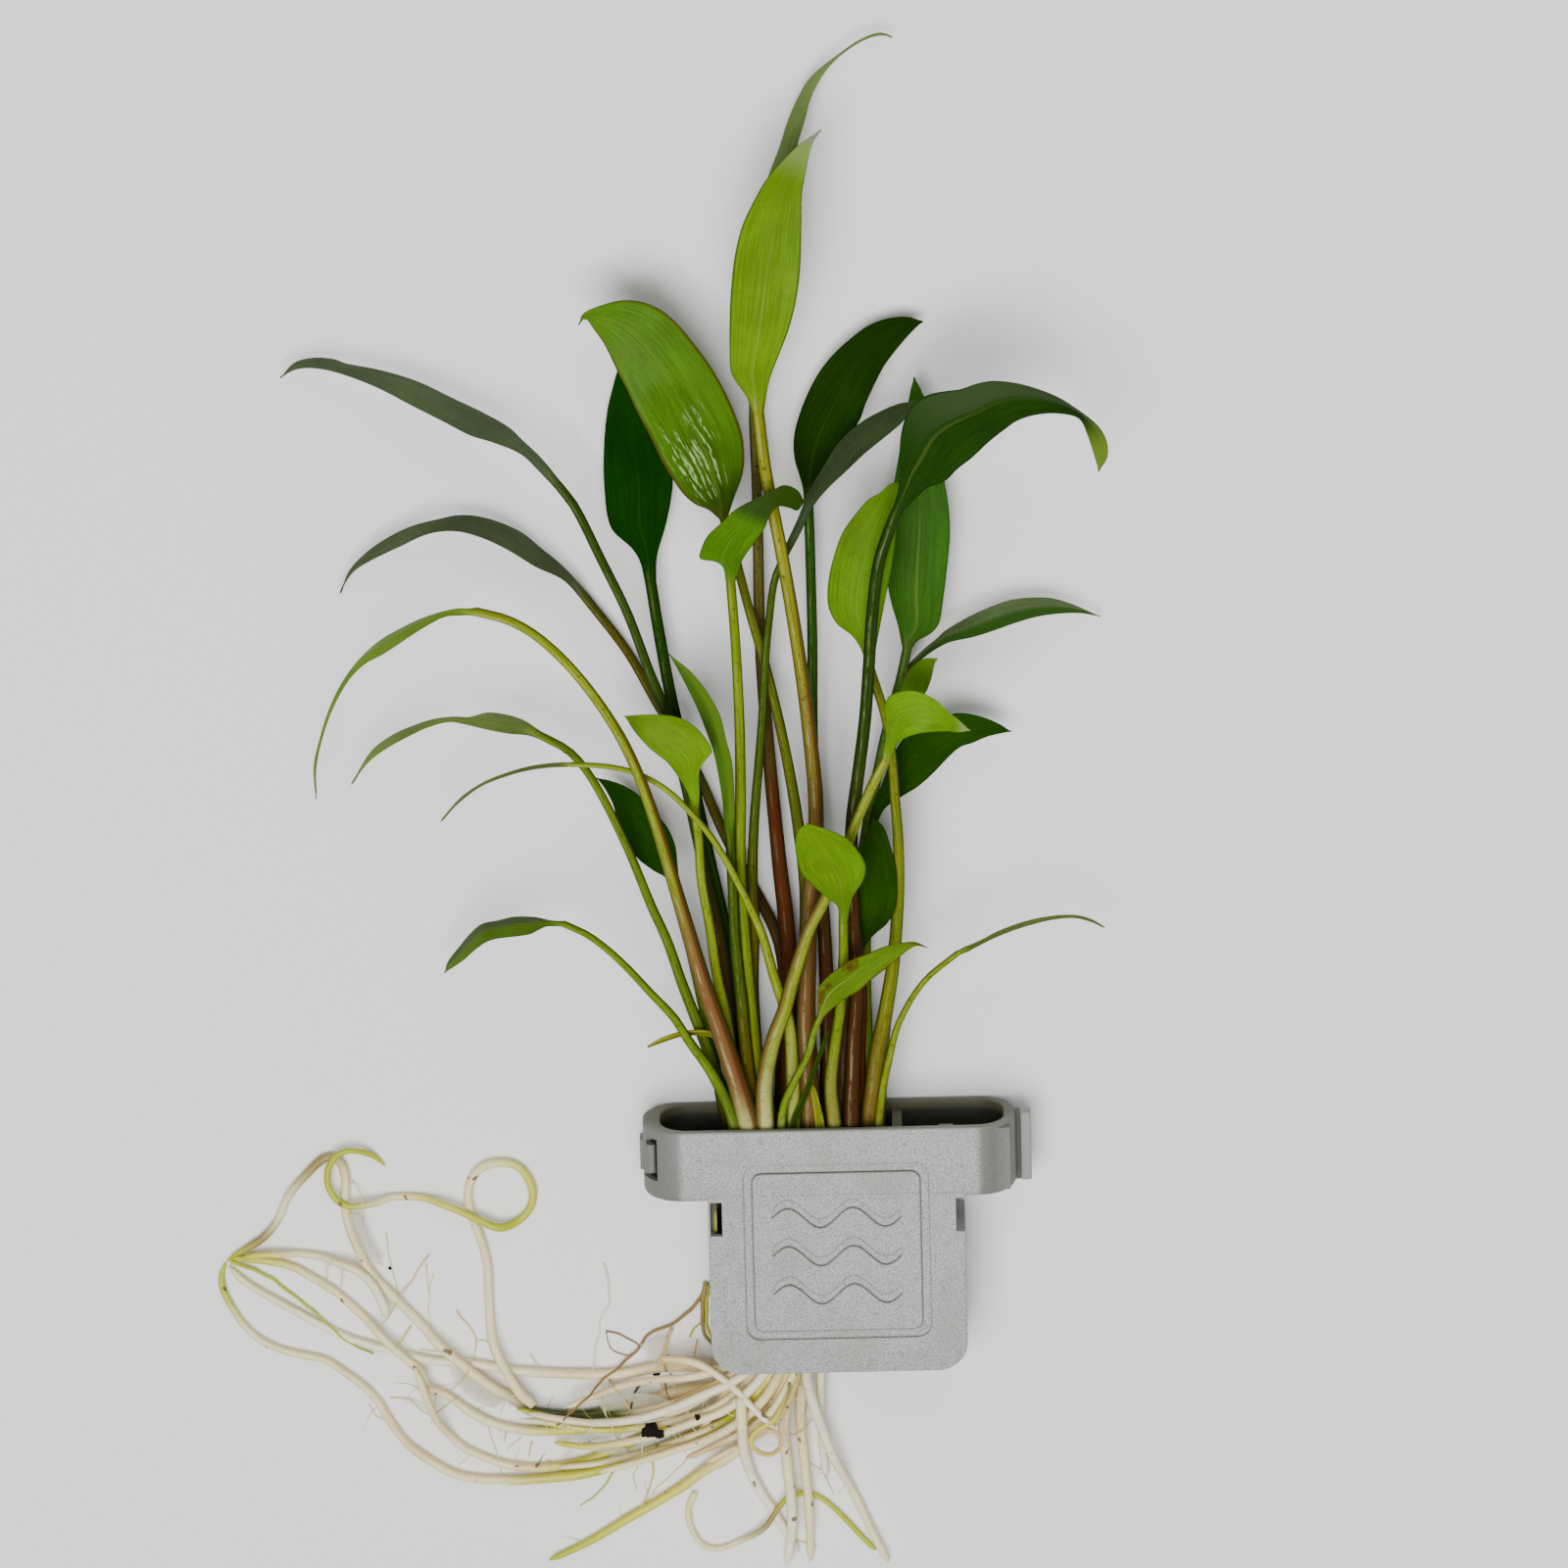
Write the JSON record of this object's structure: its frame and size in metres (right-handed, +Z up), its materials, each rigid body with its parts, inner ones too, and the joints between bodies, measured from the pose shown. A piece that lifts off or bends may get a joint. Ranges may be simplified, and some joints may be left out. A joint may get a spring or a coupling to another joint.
{
  "type": "potted aquarium plant",
  "caption": "Narrow-leaved rosette water plant in a grey clip-on plastic pot, lying on its back with its roots spread below the pot.",
  "frame": {"origin": "middle of the pot's flat back, on the surface the plant lies on", "axes": "+Y from the pot's open bottom towards the leaf tips, +Z up from the surface, +X to the right as seen from above with the leaves away from the viewer"},
  "size_m": [0.1672, 0.2966, 0.0381],
  "materials": {
    "pot": "matte grey moulded plastic with a fine speckle",
    "leaf": "smooth, slightly glossy fresh leaf",
    "stalk": "smooth fresh stalk",
    "root": "pale, slightly translucent water root",
    "crown": "rough brown crown"
  },
  "bodies": {
    "root": {"pot": "pot", "crown": "crown", "leaf_01": "leaf", "leaf_02": "leaf", "leaf_03": "leaf", "leaf_04": "leaf", "leaf_05": "leaf", "leaf_06": "leaf", "leaf_07": "leaf", "leaf_08": "leaf", "leaf_09": "leaf", "leaf_10": "leaf", "leaf_11": "leaf", "leaf_12": "leaf", "leaf_13": "leaf", "leaf_14": "leaf", "leaf_15": "leaf", "leaf_16": "leaf", "leaf_17": "leaf", "leaf_18": "leaf", "leaf_19": "leaf", "leaf_20": "leaf", "leaf_21": "leaf", "leaf_22": "leaf", "leaf_23": "leaf", "leaf_24": "leaf", "leaf_25": "leaf", "leaf_26": "leaf", "leaf_27": "leaf", "stalk_stub": "stalk", "young_shoot": "stalk", "sheath": "stalk", "root_01": "root", "root_02": "root", "root_03": "root", "root_04": "root", "root_05": "root", "root_06": "root", "root_07": "root", "root_08": "root", "root_09": "root", "root_10": "root", "root_11": "root", "root_12": "root", "root_13": "root", "root_14": "root", "root_15": "root", "root_16": "root"}
  },
  "joints": []
}
